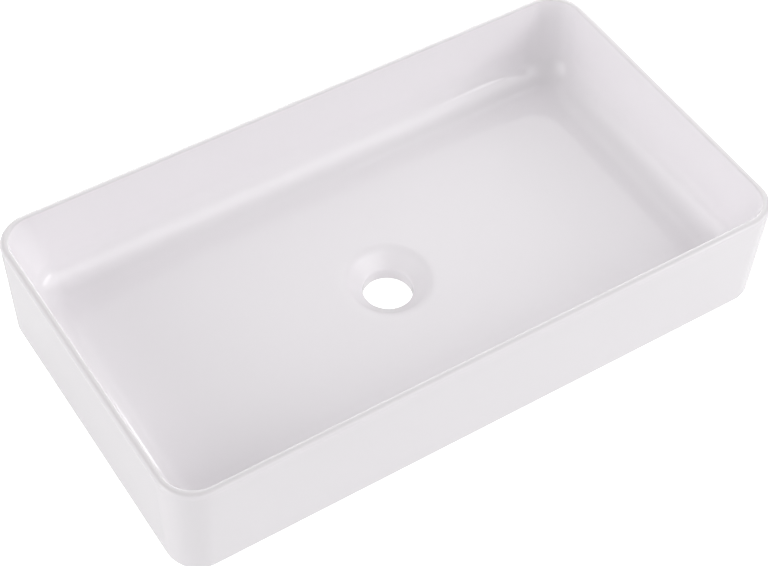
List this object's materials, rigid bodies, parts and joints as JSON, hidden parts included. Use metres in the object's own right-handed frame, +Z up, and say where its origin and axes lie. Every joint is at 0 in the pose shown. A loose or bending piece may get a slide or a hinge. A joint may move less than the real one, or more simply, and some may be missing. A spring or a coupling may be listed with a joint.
{
  "type": "countertop basin",
  "caption": "Low rectangular countertop basin cast in glazed ceramic, with thin leaning walls, a soft-cornered bowl and an open waste hole in its centre.",
  "frame": {"origin": "on the counter, under the centre of the basin's outline", "axes": "+X along the length, +Y towards the back, +Z up through the waste hole"},
  "size_m": [0.6096, 0.3396, 0.11],
  "materials": {
    "glazed_ceramic": "glossy white glaze, bare fired clay on the foot ring"
  },
  "bodies": {
    "root": {"basin_body": "glazed_ceramic"}
  },
  "joints": []
}
